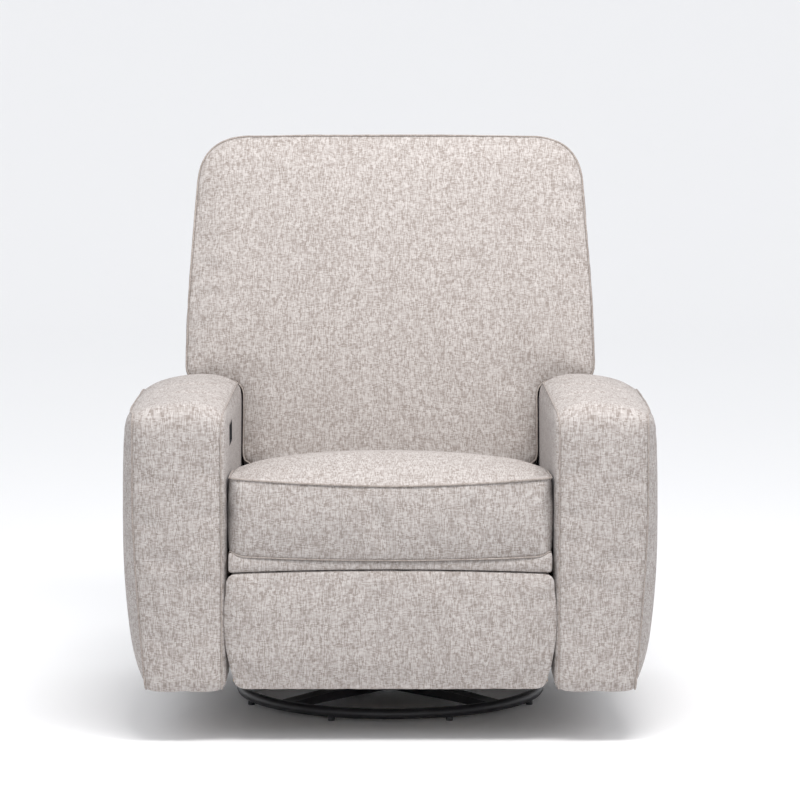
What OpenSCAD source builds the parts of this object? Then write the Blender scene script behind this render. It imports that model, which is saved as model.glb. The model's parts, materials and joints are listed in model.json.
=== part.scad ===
// Nursery glider chair with a swivel base, a reclining back and a fold-out footrest.
// Millimetres. The origin is on the floor under the swivel axis, +Z is up, the sitter
// faces -Y, and +X is the sitter's left.

/* [Overall] */
// Width across the arms at their widest
overall_w = 916; // [904:2:930]
// Depth from the arms' fronts to the top of the reclined back, equal about the swivel axis
overall_d = 910; // [906:2:930]
// Height of the arm crown above the floor
arm_h = 577; // [572:1:580]
// Clear width between the arms
seat_gap = 552; // [548:1:556]
// Height of the arms' lower edge
arm_z = 88; // [86:1:92]

/* [Back] */
// Rake of the upright back from vertical, in degrees
rake = 16; // [14:0.5:17]
// Length of the back above the seat crown, along its own slope
back_len = 575; // [560:1:585]
// Thickness of the back
back_t = 184; // [180:1:188]
// Width of the wide upper part of the back
ear_w = 756; // [730:2:770]
// Height of the underside of the ears that reach over the arms
ear_z = 574; // [573:1:585]

/* [Seat] */
// Height of the seat cushion's crown
seat_h = 460; // [454:1:464]
// Height of the welt round the cushion's top
seat_welt_z = 437; // [430:1:440]
// Height of the cushion's underside
cushion_z = 320; // [320:1:322]

/* [Footrest] */
// Height of the footrest panel's lower edge
panel_z = 93; // [90:1:96]
// Height of the footrest panel's upper edge
panel_top = 289; // [286:1:290]
// Length of the drive link
drive_len = 170; // [168:0.5:171]
// Length of the lift link
lift_len = 233.5; // [232:0.5:235]

/* [Glide] */
// Length of the hanging links between their pins
hang_len = 145; // [142:1:146]
// Distance of the hanging pins in front of and behind the swivel axis
hang_y = 100; // [96:1:104]

/* [Base] */
// Outer radius of the floor ring
ring_r = 280; // [276:1:284]
// Diameter of the ring's tube
ring_tube = 19; // [18:0.5:20]
// Number of floor glides under the ring
glide_count = 8; // [6:1:12]

/* [Hidden] */
$fn = 48;
FAR = 2000;
GAP = 0.05;            // radial running clearance of a pin in its bore
plate_t = 3;
link_t = 4;
layer = 6;             // spacing of the footrest links side by side

half_w = overall_w / 2;
half_d = overall_d / 2;
arm_in = seat_gap / 2;
front_y = -half_d;
arm_rear_y = 300;

// Layers of the mechanism, measured from the arm's inner face
plate_x = arm_in - 14;
hang_x = arm_in - 22;
hanger_x = arm_in - 30;
foot_plate_x = arm_in - 32;
guide_x = foot_plate_x - layer;
lift_x = guide_x - layer;
drive_x = lift_x - layer;
control_x = drive_x - layer;

// Heights of the base and the swivel
glide_t = 6;
ring_z = glide_t + ring_tube / 2;
ring_c = ring_r - ring_tube / 2;
cross_z = 12;
race_z = 28;
race_r = 95;
ball_d = 8;
upper_z = 44;
tube_z = 47;
tube_s = 20;

// Glide pins
hang_top = 240;
hang_low = hang_top - hang_len;
pin_d = 10;
bush_d = 16;
bolt_d = 6;

// Footrest pivots in the side plane as [Y, Z], with the angles of the folded links
drive_p = [-270, 250];
guide_p = [-265.1, 216.4];
drive_a = -150;
lift_a = 6;
guide_a = -148.2;
control_a = 13.3;
guide_len = 187.7;
control_len = 218;
guide_lug = [-23.4, -45];
control_lug = [144.8, -16.2];
bracket_lug = [-7, 55.7];
rivet_d = 8;
guide_hole = 12;
control_hole = 16;

// A vector in a link's own frame turned into the side plane, where forward is -Y
function side_vec(v, a) = [-(v[0] * cos(a) - v[1] * sin(a)), v[0] * sin(a) + v[1] * cos(a)];
drive_q = drive_p + side_vec([drive_len, 0], drive_a);
lift_r = drive_q + side_vec([lift_len, 0], lift_a);
guide_q = drive_q + side_vec(guide_lug, lift_a);
guide_end = guide_p + side_vec([guide_len, 0], guide_a);
control_q = drive_p + side_vec(control_lug, drive_a);
control_end = control_q + side_vec([control_len, 0], control_a);
bracket_q = lift_r + side_vec(bracket_lug, 0);

// Back hinge and the back's own frame: local z runs up its front face, local y to the rear
hinge_y = 170;
hinge_z = 300;
back_z0 = 460;
back_y = half_d - back_len * sin(rake) - back_t * cos(rake);
stem_w = seat_gap - 12;
stem_low = -130;
neck_w = 2 * plate_x - 12;
neck_top = -60;
pad_t = 120;
back_frame_t = 42;
cover_t = 12;
ear_r = 62;

// Release handle in the right arm of the sitter
cup_y = -270;
cup_z = 510;
cup_l = 90;
cup_h = 36;
cup_d = 23.5;
cup_wall = 2;
lever_z = cup_z + 12;
lever_x = -arm_in - 10;
lever_pin_d = 3;

// Latch on the footrest's torque tube
latch_x = -212;
latch_t = 6;
pawl_p = [-212, 272];
cam_r = 26;

arm_bolts_yz = [[-320, 160], [-180, 262], [215, 140], [215, 262]];
foot_bolts_yz = [[-292, 272], [-292, 236], [-215, 250]];
tie_yz = [[-318, 274], [225, 200]];
cable_hole_yz = [-150, 274];
cable_d = 6;

// Route of the release cable, from the handle cup to the latch
cable_route = [
    [-300, -250, 510], [-312, -250, 510], [-322, -249, 504], [-327, -247, 492], [-328, -245, 470],
    [-328, -238, 430], [-328, -226, 390], [-328, -210, 350], [-327, -192, 318], [-324, -172, 294],
    [-317, -158, 280], [-306, -151, 275], [-295, -150, 274], [-280, -150, 274], [-262, -150, 274],
    [-245, -150, 274], [-232, -151, 275], [-220, -155, 279], [-212, -163, 283], [-209, -175, 284],
    [-209, -184, 284]
];

arm_wall = 14;
cav_x0 = arm_in + arm_wall;
cav_x1 = arm_in + 126;
cav_y0 = front_y + 18;
cav_y1 = arm_rear_y - 22;
cav_z1 = 525;

// ---- Helpers ----

// Children and their mirror image on the other side of the chair
module both() {
    children();
    mirror([1, 0, 0]) children();
}

// Extrudes a side-view outline, drawn as [Y, Z], along X from x0 by t
module side_plane(x0, t) {
    translate([x0, 0, 0]) rotate([90, 0, 90]) linear_extrude(t) children();
}

// A pin or bore along X at [Y, Z]
module x_pin(x0, x1, p, d) {
    translate([x0, p[0], p[1]]) rotate([0, 90, 0]) cylinder(h = x1 - x0, d = d);
}

// A box from its lowest to its highest corner
module box(a, b) {
    translate(a) cube(b - a);
}

// Outline of a bar between two eyes
module bar(p, q, w, d) {
    v = q - p;
    translate(p) circle(d = d);
    translate(q) circle(d = d);
    translate(p) rotate(atan2(v[1], v[0])) translate([0, -w / 2]) square([norm(v), w]);
}

module hole(p, d) {
    translate(p) circle(d = d);
}

// Points of a corner that bends from a to c round b
function corner(a, b, c, n = 6) =
    [for (i = [0 : n]) let (t = i / n) (1 - t) * (1 - t) * a + 2 * t * (1 - t) * b + t * t * c];

// A polyhedral tube with flat ends that follows a list of points
module sweep_tube(path, d, sides = 8) {
    n = len(path);
    rings = [for (i = [0 : n - 1])
        let (t0 = path[min(i + 1, n - 1)] - path[max(i - 1, 0)])
        let (t = t0 / norm(t0))
        let (u0 = cross(t, [0.3, 0.9, 0.3]))
        let (u = u0 / norm(u0))
        let (v = cross(t, u))
        for (k = [0 : sides - 1]) path[i] + d / 2 * (u * cos(360 * k / sides) + v * sin(360 * k / sides))];
    walls = [for (i = [0 : n - 2]) for (k = [0 : sides - 1])
        let (k2 = (k + 1) % sides)
        [i * sides + k, (i + 1) * sides + k, (i + 1) * sides + k2, i * sides + k2]];
    start = [for (k = [0 : sides - 1]) k];
    finish = [for (k = [0 : sides - 1]) n * sides - 1 - k];
    polyhedron(concat(rings), concat(walls, [start], [finish]), convexity = 10);
}

// ---- Base ----

module ring_solid(d) {
    translate([0, 0, ring_z]) rotate_extrude($fn = 96) translate([ring_c, 0]) circle(d = d);
}

module base_ring() {
    color("#15161a") difference() {
        ring_solid(ring_tube);
        for (i = [0 : glide_count - 1]) {
            rotate((i + 0.5) * 360 / glide_count) translate([ring_c, 0, 0]) cylinder(h = ring_z, d = 5);
        }
    }
}

// Two crossed flat bars that rise a little towards the swivel
module base_cross() {
    rise = [[-ring_c, 9], [-150, cross_z], [150, cross_z], [ring_c, 9], [ring_c, 21],
            [150, race_z], [-150, race_z], [-ring_c, 21]];
    color("#15161a") difference() {
        for (a = [45, 135]) {
            rotate(a) translate([0, 15, 0]) rotate([90, 0, 0]) linear_extrude(30) polygon(rise);
        }
        ring_solid(ring_tube + 2 * GAP);
        translate([0, 0, -1]) cylinder(h = 60, d = 16);
    }
}

module floor_glides() {
    color("#202124") for (i = [0 : glide_count - 1]) {
        rotate((i + 0.5) * 360 / glide_count) translate([ring_c, 0, 0]) {
            difference() {
                cylinder(h = glide_t + 1.5, d = 12);
                translate([0, 0, ring_z]) rotate([90, 0, 0]) cylinder(h = 40, d = ring_tube + 0.6, center = true);
            }
            cylinder(h = ring_z - 2, d = 4.9);
        }
    }
}

// Half of the ball race: a plate from z0 to z1 and a grooved ring towards the balls
module race(z0, z1, ring0, ring1) {
    difference() {
        union() {
            translate([0, 0, z0]) cylinder(h = z1 - z0, r = 115);
            translate([0, 0, ring0]) cylinder(h = ring1 - ring0, r = 106);
        }
        translate([0, 0, (race_z + upper_z + 3) / 2]) rotate_extrude($fn = 96) translate([race_r, 0]) circle(d = ball_d + 0.4);
        translate([0, 0, min(z0, ring0) - 1]) cylinder(h = 40, d = pin_d + 6 + 2 * GAP);
    }
}

module lower_race() {
    color("#2c2d31") race(race_z, race_z + 3, race_z + 3, race_z + 8);
}

module upper_race() {
    color("#2c2d31") race(upper_z, tube_z, upper_z - 5, upper_z);
}

module swivel_balls() {
    color("silver") for (i = [0 : 23]) {
        rotate(i * 15) translate([race_r, 0, (race_z + upper_z + 3) / 2]) sphere(d = ball_d);
    }
}

// Centre bolt with its head under the cross and its lock nut above the upper race
module swivel_bolt() {
    color("#8b8d92") {
        translate([0, 0, cross_z - 4]) cylinder(h = 4, d = 32);
        translate([0, 0, cross_z - 1]) cylinder(h = 50, d = 16);
        translate([0, 0, tube_z + 0.3]) cylinder(h = 2, d = 34);
        translate([0, 0, tube_z + 2]) cylinder(h = 10, d = 27, $fn = 6);
    }
}

// ---- Carriage ----

// A square tube between two corners, open at both ends of its long side
module square_tube(a, b, along) {
    wall = 2;
    inner = [for (i = [0 : 2]) i == along ? -1 : wall];
    difference() {
        box(a, b);
        box(a + inner, b - inner);
    }
}

// Bolts through the hanger plates into the carriage's side tubes
module carriage_bolt_pins(d) {
    for (y = [-75, 75]) {
        x_pin(hanger_x - 8, hanger_x + link_t + 1, [y, tube_z + tube_s / 2], d);
    }
}

module carriage_frame() {
    rail_y = 95;
    color("#1b1c20") {
        for (y = [-rail_y, rail_y - tube_s]) {
            square_tube([-hanger_x + tube_s, y, tube_z], [hanger_x - tube_s, y + tube_s, tube_z + tube_s], 0);
        }
        both() difference() {
            square_tube([hanger_x - tube_s, -rail_y, tube_z], [hanger_x, rail_y, tube_z + tube_s], 1);
            carriage_bolt_pins(bolt_d);
        }
    }
}

module hanger_plates() {
    foot_z = tube_z + tube_s;
    color("#1b1c20") both() side_plane(hanger_x, link_t) difference() {
        union() {
            polygon([[-95, tube_z], [95, tube_z], [hang_y + 12, hang_top], [-hang_y - 12, hang_top]]);
            hole([-hang_y, hang_top], 32);
            hole([hang_y, hang_top], 32);
        }
        polygon([[-43, foot_z + 16], [43, foot_z + 16], [38, hang_top - 36], [-38, hang_top - 36]]);
        hole([-hang_y, hang_top], pin_d);
        hole([hang_y, hang_top], pin_d);
        hole([-75, tube_z + tube_s / 2], bolt_d);
        hole([75, tube_z + tube_s / 2], bolt_d);
    }
}

// Shouldered pins that carry the hanging links on the carriage
module hanger_pins() {
    color("#9a9ca1") both() for (y = [-hang_y, hang_y]) {
        p = [y, hang_top];
        x_pin(hanger_x - 3, hanger_x, p, bush_d);
        x_pin(hanger_x - 1, hang_x + 5, p, pin_d);
        x_pin(hanger_x + link_t, hang_x - 0.5, p, 18);
        x_pin(hang_x + 4.6, hang_x + 7, p, 18);
    }
}

module carriage_bolts() {
    color("#8b8d92") both() {
        carriage_bolt_pins(bolt_d);
        for (y = [-75, 75]) {
            p = [y, tube_z + tube_s / 2];
            x_pin(hanger_x + link_t, hanger_x + link_t + 3, p, 11);
            x_pin(hanger_x - 6, hanger_x - 2, p, 11);
        }
    }
}

// ---- Hanging glide links ----

module glide_link(y) {
    side_plane(hang_x, link_t) difference() {
        bar([y, hang_top], [y, hang_low], 22, 30);
        hole([y, hang_top], bush_d);
        hole([y, hang_low], bush_d);
    }
}

module link_bushes(y) {
    for (z = [hang_top, hang_low]) {
        difference() {
            x_pin(hang_x - 0.3, hang_x + link_t + 0.3, [y, z], bush_d);
            x_pin(hang_x - 1, hang_x + link_t + 1, [y, z], pin_d + 2 * GAP);
        }
    }
}

module rear_glide_links() {
    color("#3a3b40") both() glide_link(hang_y);
}

module rear_link_bushes() {
    color("#e9e7df") both() link_bushes(hang_y);
}

module front_glide_links() {
    color("#3a3b40") both() glide_link(-hang_y);
}

module front_link_bushes() {
    color("#e9e7df") both() link_bushes(-hang_y);
}

// ---- Chair body: metal ----

module side_plate_outline() {
    difference() {
        union() {
            polygon([[-336, 288], [-336, 140], [-125, 79], [125, 79], [238, 120], [238, 288]]);
            hole([hinge_y, hinge_z], 40);
        }
        hole([hinge_y, hinge_z], pin_d);
        hole([-hang_y, hang_low], pin_d);
        hole([hang_y, hang_low], pin_d);
        for (p = arm_bolts_yz) hole(p, 8);
        for (p = foot_bolts_yz) hole(p, bolt_d);
    }
}

module side_plate_left() {
    color("#2a2b2f") side_plane(plate_x, plate_t) side_plate_outline();
}

// The plate on the handle's side also lets the release cable through
module side_plate_right() {
    color("#2a2b2f") side_plane(-plate_x - plate_t, plate_t) difference() {
        side_plate_outline();
        hole(cable_hole_yz, cable_d + 3);
    }
}

// Rivets that carry the chair on the lower eyes of the hanging links
module rocker_pins() {
    color("#9a9ca1") both() for (y = [-hang_y, hang_y]) {
        p = [y, hang_low];
        x_pin(hang_x - 3.4, hang_x - 0.6, p, 18);
        x_pin(hang_x - 1, plate_x + plate_t + 1, p, pin_d);
        x_pin(hang_x + link_t + 0.6, plate_x, p, 18);
        x_pin(plate_x + plate_t, plate_x + plate_t + 3, p, bush_d);
    }
}

module tie_tubes() {
    color("#2a2b2f") for (p = tie_yz) {
        difference() {
            x_pin(-plate_x, plate_x, p, 18);
            x_pin(-plate_x - 1, plate_x + 1, p, 14);
        }
    }
}

// Steel angles that carry the seat frame on the side plates
module seat_angles() {
    color("#2a2b2f") both() {
        box([plate_x - 27, -130, 288], [plate_x, 80, 292]);
        box([plate_x - 3, -130, 262], [plate_x, 80, 288]);
    }
}

// ---- Arms ----

// Front view of an arm as [X, Z]: upright inner face, domed top and bulged outer side.
// The side is widest at bulge_z and draws in more towards the floor; the dome is highest
// at crown_x and falls more towards the inner side.
bulge_z = 350;
crown_x = arm_in + 59;
function arm_side_x(z) = half_w - (z < bulge_z ? 0.00037 : 0.000095) * pow(z - bulge_z, 2);
function arm_top_z(x) = arm_h - (x < crown_x ? 0.0036 : 0.0012) * pow(x - crown_x, 2);
arm_front_outline = concat(
    corner([arm_in, arm_z + 14], [arm_in, arm_z], [arm_in + 14, arm_z]),
    corner([arm_side_x(arm_z) - 26, arm_z], [arm_side_x(arm_z) - 4, arm_z], [arm_side_x(arm_z + 26), arm_z + 26]),
    [for (z = [140 : 40 : 500]) [arm_side_x(z), z]],
    corner([arm_side_x(528), 528], [arm_side_x(528), arm_top_z(half_w - 4)], [half_w - 26, arm_top_z(half_w - 26)]),
    [for (x = [half_w - 41 : -15 : arm_in + 30]) [x, arm_top_z(x)]],
    corner([arm_in + 18, arm_top_z(arm_in + 18)], [arm_in, arm_top_z(arm_in)], [arm_in, arm_h - 34])
);

// Side view of an arm as [Y, Z]: rolled front edge and a top that falls away towards the rear
arm_side_outline = concat(
    corner([front_y, arm_z + 10], [front_y, arm_z], [front_y + 10, arm_z]),
    corner([arm_rear_y - 10, arm_z], [arm_rear_y, arm_z], [arm_rear_y, arm_z + 10]),
    corner([arm_rear_y, 500], [arm_rear_y, arm_h - 23], [180, arm_h - 15]),
    corner([150, arm_h - 12], [60, arm_h], [-60, arm_h]),
    corner([front_y + 44, arm_h], [front_y, arm_h], [front_y, arm_h - 44])
);

module arm_outer() {
    intersection() {
        translate([0, FAR / 2, 0]) rotate([90, 0, 0]) linear_extrude(FAR) polygon(arm_front_outline);
        side_plane(0, half_w + 10) polygon(arm_side_outline);
    }
}

module arm_bolt_holes(d) {
    for (p = arm_bolts_yz) x_pin(arm_in - 20, arm_in + 60, p, d);
}

// Foam and fabric shell, open below, that fits over the timber arm frame
module arm_cover() {
    difference() {
        arm_outer();
        box([cav_x0, cav_y0, arm_z - 10], [cav_x1, cav_y1, cav_z1]);
        arm_bolt_holes(8);
    }
}

// Timber box frame: inner panel, two posts, a top board and a bottom board
module arm_frame() {
    panel_x = cav_x0 + 12;
    low = arm_z + 4;
    difference() {
        union() {
            box([cav_x0, cav_y0, low], [panel_x, cav_y1, cav_z1]);
            box([panel_x, cav_y0, low], [cav_x1, cav_y0 + 32, cav_z1]);
            box([panel_x, cav_y1 - 32, low], [cav_x1, cav_y1, cav_z1]);
            box([panel_x, cav_y0 + 32, cav_z1 - 24], [cav_x1, cav_y1 - 32, cav_z1]);
            box([panel_x, cav_y0 + 32, low], [cav_x1, cav_y1 - 32, low + 12]);
        }
        arm_bolt_holes(8);
    }
}

// Cut-outs for the release cup and its cable, in the arm on the sitter's right
module release_cuts() {
    box([-arm_in - cup_d - 0.5, cup_y - cup_l / 2, cup_z - cup_h / 2],
        [-arm_in + 1, cup_y + cup_l / 2, cup_z + cup_h / 2]);
    x_pin(-cav_x0 - 20, -arm_in + 1, cable_hole_yz, cable_d + 3);
    box([-arm_in - 56, cable_route[0][1] - 10, cup_z - 9], [-arm_in - 20, cable_route[0][1] + 10, cup_z + 9]);
}

module arm_cover_left() {
    color("#cfc8c2") arm_cover();
}

module arm_cover_right() {
    color("#cfc8c2") difference() {
        mirror([1, 0, 0]) arm_cover();
        release_cuts();
    }
}

module arm_frame_left() {
    color("#c9a574") arm_frame();
}

module arm_frame_right() {
    color("#c9a574") difference() {
        mirror([1, 0, 0]) arm_frame();
        release_cuts();
    }
}

module arm_bolts() {
    color("#8b8d92") both() for (p = arm_bolts_yz) {
        x_pin(plate_x - 4, plate_x, p, 14);
        x_pin(plate_x - 1, cav_x0 + 20, p, 8);
        translate([cav_x0 + 12, p[0], p[1]]) rotate([0, 90, 0]) cylinder(h = 7, d = 15, $fn = 6);
    }
}

module arm_sleeves() {
    color("#8b8d92") both() for (p = arm_bolts_yz) {
        difference() {
            x_pin(plate_x + plate_t, arm_in, p, 16);
            x_pin(plate_x, arm_in + 1, p, 8);
        }
    }
}

// ---- Seat ----

function back_face_y(z) = back_y - (back_z0 - z) * tan(rake);
seat_rear_gap = 7;

module seat_frame() {
    z0 = 292;
    z1 = 316;
    rear_y = back_face_y(cushion_z) - seat_rear_gap;
    color("#c9a574") difference() {
        box([-arm_in + 4, front_y + 24, z0], [arm_in - 4, rear_y, z1]);
        box([-arm_in + 44, front_y + 64, z0 - 1], [arm_in - 44, rear_y - 40, z1 + 1]);
    }
}

// Zigzag springs between the front and the rear rail
module seat_springs() {
    wire = 3.2;
    steps = 16;
    y0 = front_y + 45;
    y1 = back_face_y(cushion_z) - seat_rear_gap - 20;
    pitch = (y1 - y0) / steps;
    color("#5f6166") for (x = [-160 : 80 : 160]) {
        for (i = [0 : steps - 1]) {
            hull() {
                translate([x + (i % 2 == 0 ? -24 : 24), y0 + i * pitch, 316]) cylinder(h = wire, d = wire, $fn = 8);
                translate([x + (i % 2 == 0 ? 24 : -24), y0 + (i + 1) * pitch, 316]) cylinder(h = wire, d = wire, $fn = 8);
            }
        }
    }
}

// Boxed cushion with a crowned top that falls towards the rear, where it follows the back
module seat_cushion() {
    y0 = front_y + 3;
    rear_top = seat_h - 32;
    rear = function (z) back_face_y(z) - seat_rear_gap;
    color("#cfc8c2") side_plane(-arm_in + 1.5, seat_gap - 3) polygon(concat(
        corner([y0 + 8, cushion_z], [y0, cushion_z], [y0, cushion_z + 12]),
        corner([y0, seat_welt_z - 8], [y0, seat_h - 6], [y0 + 75, seat_h - 3]),
        [[y0 + 170, seat_h], [y0 + 270, seat_h - 1], [y0 + 400, seat_h - 12]],
        [[rear(rear_top) - 10, rear_top], [rear(rear_top - 10), rear_top - 10], [rear(cushion_z), cushion_z]]
    ));
}

// Upholstered strip in front of the seat frame, below the cushion
module front_rail_cover() {
    y0 = front_y + 5;
    color("#cfc8c2") side_plane(-arm_in + 1.5, seat_gap - 3) polygon(concat(
        corner([y0 + 6, 291], [y0, 291], [y0, 297]),
        [[y0, cushion_z - 0.5], [front_y + 24, cushion_z - 0.5], [front_y + 24, 291]]
    ));
}

// Upholstered panel that closes the rear below the back
module rear_panel() {
    color("#cfc8c2") box([-arm_in + 0.5, 280, 95], [arm_in - 0.5, 292, 268]);
}

// ---- Release handle and latch ----

module release_cup() {
    x0 = -arm_in - cup_d;
    y0 = cup_y - cup_l / 2;
    y1 = cup_y + cup_l / 2;
    z0 = cup_z - cup_h / 2;
    z1 = cup_z + cup_h / 2;
    color("#1c1c1f") difference() {
        box([x0, y0, z0], [-arm_in - 0.4, y1, z1]);
        box([x0 + cup_wall, y0 + cup_wall, z0 + cup_wall], [-arm_in + 1, y1 - cup_wall, z1 - cup_wall]);
        translate([lever_x, y0 - 1, lever_z]) rotate([-90, 0, 0]) cylinder(h = cup_l + 2, d = lever_pin_d);
        translate([x0 - 1, -250, 510]) rotate([0, 90, 0]) cylinder(h = 4, d = 2.4);
    }
}

module lever_pin() {
    color("#9a9ca1") translate([lever_x, cup_y - cup_l / 2, lever_z]) rotate([-90, 0, 0])
        cylinder(h = cup_l, d = lever_pin_d);
}

// Paddle hinged along its top edge, pulled outwards at its lower edge
module release_lever() {
    y0 = cup_y - cup_l / 2 + cup_wall + 0.5;
    len_y = cup_l - 2 * cup_wall - 1;
    color("#26272b") difference() {
        union() {
            translate([lever_x, y0, lever_z]) rotate([-90, 0, 0]) cylinder(h = len_y, d = 6.4);
            box([lever_x - 1.5, y0, lever_z - 19], [lever_x + 1.5, y0 + len_y, lever_z]);
            box([lever_x - 5, -253, lever_z - 16], [lever_x - 1, -247, lever_z - 8]);
        }
        translate([lever_x, y0 - 1, lever_z]) rotate([-90, 0, 0]) cylinder(h = len_y + 2, d = lever_pin_d + 2 * GAP);
    }
}

module release_cable() {
    last = cable_route[len(cable_route) - 1];
    color("#141416") {
        sweep_tube(cable_route, cable_d);
        translate([-arm_in - cup_d - 1, -250, 510]) rotate([0, 90, 0]) cylinder(h = 7, d = 1.6);
        translate([last[0], last[1] + 1, last[2]]) rotate([90, 0, 0]) cylinder(h = 16, d = 1.6);
    }
}

module latch_pin() {
    color("#9a9ca1") {
        x_pin(-foot_plate_x - plate_t, latch_x + latch_t + 3, pawl_p, 6);
        x_pin(latch_x + latch_t + 0.6, latch_x + latch_t + 3, pawl_p, 11);
        x_pin(latch_x - 3, latch_x - 0.6, pawl_p, 11);
    }
}

// Pawl that stands over the cam's notch, with a tail for the cable
module latch_pawl() {
    color("#4a4b50") side_plane(latch_x, latch_t) difference() {
        union() {
            hole(pawl_p, 16);
            polygon([[-245.5, 262.8], [-232, 263], [-212, 266], [-206, 272], [-204, 286], [-213, 287],
                     [-218, 278], [-238, 273], [-247.5, 268.5]]);
        }
        hole(pawl_p, 6 + 2 * GAP);
    }
}

// Clip on the footrest plate that holds the end of the cable's sheath
module cable_clip() {
    end = cable_route[len(cable_route) - 1];
    color("#2a2b2f") difference() {
        box([-foot_plate_x, end[1] - 2, end[2] - 5], [end[0] + 5, end[1] + 6, end[2] + 5]);
        translate([end[0], end[1] - 3, end[2]]) rotate([-90, 0, 0]) cylinder(h = 10, d = cable_d + 0.1);
    }
}

// ---- Back ----

// Places the back's own frame: the front face at the seat crown's height
module back_place() {
    translate([0, back_y, back_z0]) rotate([-rake, 0, 0]) children();
}

// Outline of the T-shaped back as [X, local Z], inset by m
module back_outline(m = 0) {
    w = ear_w / 2 - m;
    top = back_len - m;
    r = ear_r - m / 2;
    taper = 14;
    // each side leans in towards the top and turns through a rounded corner
    polygon(concat(
        [[-neck_w / 2 + m, stem_low + m], [neck_w / 2 - m, stem_low + m], [neck_w / 2 - m, neck_top + m],
         [stem_w / 2 - m, neck_top + m], [stem_w / 2 - m, 60], [w, 60], [w, 200]],
        corner([w - taper, top - r - 20], [w - taper - 6, top], [w - taper - r - 12, top]),
        corner([-w + taper + r + 12, top], [-w + taper + 6, top], [-w + taper, top - r - 20]),
        [[-w, 200], [-w, 60], [-stem_w / 2 + m, 60], [-stem_w / 2 + m, neck_top + m], [-neck_w / 2 + m, neck_top + m]]
    ));
}

// A slab of the back between two depths, with the ears cut level above the arms
module back_slab(y0, y1, m = 0) {
    difference() {
        back_place() translate([0, y1, 0]) rotate([90, 0, 0]) linear_extrude(y1 - y0) back_outline(m);
        both() box([stem_w / 2 - m, -FAR, -FAR], [FAR, FAR, ear_z + m]);
    }
}

module hinge_arm_outline(d) {
    a = [hinge_y, hinge_z];
    mid_y = pad_t + back_frame_t / 2;
    place = function (y, z) [back_y + y * cos(rake) + z * sin(rake), back_z0 - y * sin(rake) + z * cos(rake)];
    difference() {
        union() {
            bar(a, place(mid_y, neck_top), 28, 34);
            bar(place(mid_y, neck_top), place(mid_y, 60), 28, 34);
        }
        hole(a, d);
    }
}

module back_hinge_arms() {
    color("#2a2b2f") both() side_plane(plate_x + plate_t + 0.5, link_t) hinge_arm_outline(pin_d + 2 * GAP);
}

module back_hinge_pins() {
    p = [hinge_y, hinge_z];
    color("#9a9ca1") both() {
        x_pin(plate_x - 3, plate_x, p, 18);
        x_pin(plate_x - 1, plate_x + plate_t + 7, p, pin_d);
        x_pin(plate_x + plate_t + 5, plate_x + plate_t + 8, p, 16);
    }
}

// Room for the hinge arms in the pieces they are screwed to
module hinge_arm_room() {
    both() side_plane(plate_x + plate_t + 0.5, 20) hinge_arm_outline(1);
}

// Timber ladder frame with cross rails and webbing slots
module back_frame() {
    wins = [[-20, 130], [160, 330], [360, 535]];
    color("#c9a574") difference() {
        back_slab(pad_t, pad_t + back_frame_t, cover_t);
        back_place() for (w = wins) {
            box([-215, pad_t - 1, w[0]], [-12, pad_t + back_frame_t + 1, w[1]]);
            box([12, pad_t - 1, w[0]], [215, pad_t + back_frame_t + 1, w[1]]);
        }
    }
}

module back_cushion() {
    color("#cfc8c2") difference() {
        back_slab(0, pad_t);
        hinge_arm_room();
    }
}

// Upholstered tray that closes the rear and the sides of the timber frame
module outside_back() {
    color("#cfc8c2") difference() {
        back_slab(pad_t, back_t);
        back_slab(pad_t - 1, pad_t + back_frame_t, cover_t);
        hinge_arm_room();
    }
}

// ---- Footrest linkage ----

module footrest_plates() {
    color("#2a2b2f") both() side_plane(foot_plate_x, plate_t) difference() {
        polygon([[-308, 286], [-308, 224], [-285, 194], [-245, 194], [-198, 240], [-180, 270], [-180, 286]]);
        for (p = foot_bolts_yz) hole(p, bolt_d);
        hole(drive_p, pin_d);
        hole(guide_p, rivet_d);
        hole(pawl_p, 6);
    }
}

module footrest_sleeves() {
    color("#8b8d92") both() for (p = foot_bolts_yz) {
        difference() {
            x_pin(foot_plate_x + plate_t, plate_x, p, 14);
            x_pin(foot_plate_x, plate_x + 1, p, 6);
        }
    }
}

module footrest_bolts() {
    color("#8b8d92") both() for (p = foot_bolts_yz) {
        x_pin(foot_plate_x - 1.2, plate_x + plate_t + 1, p, 6);
        x_pin(foot_plate_x - 1.6, foot_plate_x, p, 11);
        x_pin(plate_x + plate_t, plate_x + plate_t + 4, p, 11);
    }
}

// Fixed pivots of the drive links and the guide links
module footrest_pins() {
    color("#9a9ca1") both() {
        x_pin(drive_x - 26, foot_plate_x + plate_t + 1, drive_p, pin_d);
        x_pin(foot_plate_x + plate_t, foot_plate_x + plate_t + 3, drive_p, 15);
        x_pin(guide_x, foot_plate_x + plate_t + 1, guide_p, rivet_d);
        x_pin(foot_plate_x + plate_t, foot_plate_x + plate_t + 3, guide_p, 13);
    }
}

// Cross tube between the drive links, with the latch cam on it
module torque_tube() {
    bore_d = pin_d + 2 * GAP;
    color("#2a2b2f") difference() {
        union() {
            x_pin(-drive_x, drive_x, drive_p, 18);
            side_plane(latch_x, latch_t) difference() {
                hole(drive_p, 2 * cam_r);
                translate(drive_p) rotate(26) translate([cam_r - 5, -5]) square([10, 10]);
            }
        }
        x_pin(-drive_x - 1, drive_x + 1, drive_p, bore_d);
    }
}

module drive_links() {
    color("#3a3b40") both() side_plane(drive_x, link_t) difference() {
        union() {
            bar(drive_p, drive_q, 20, 26);
            bar(drive_p + 0.6 * (drive_q - drive_p), control_q, 16, 22);
        }
        hole(drive_p, pin_d + 2 * GAP);
        hole(drive_q, rivet_d);
        hole(control_q, rivet_d);
    }
}

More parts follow.
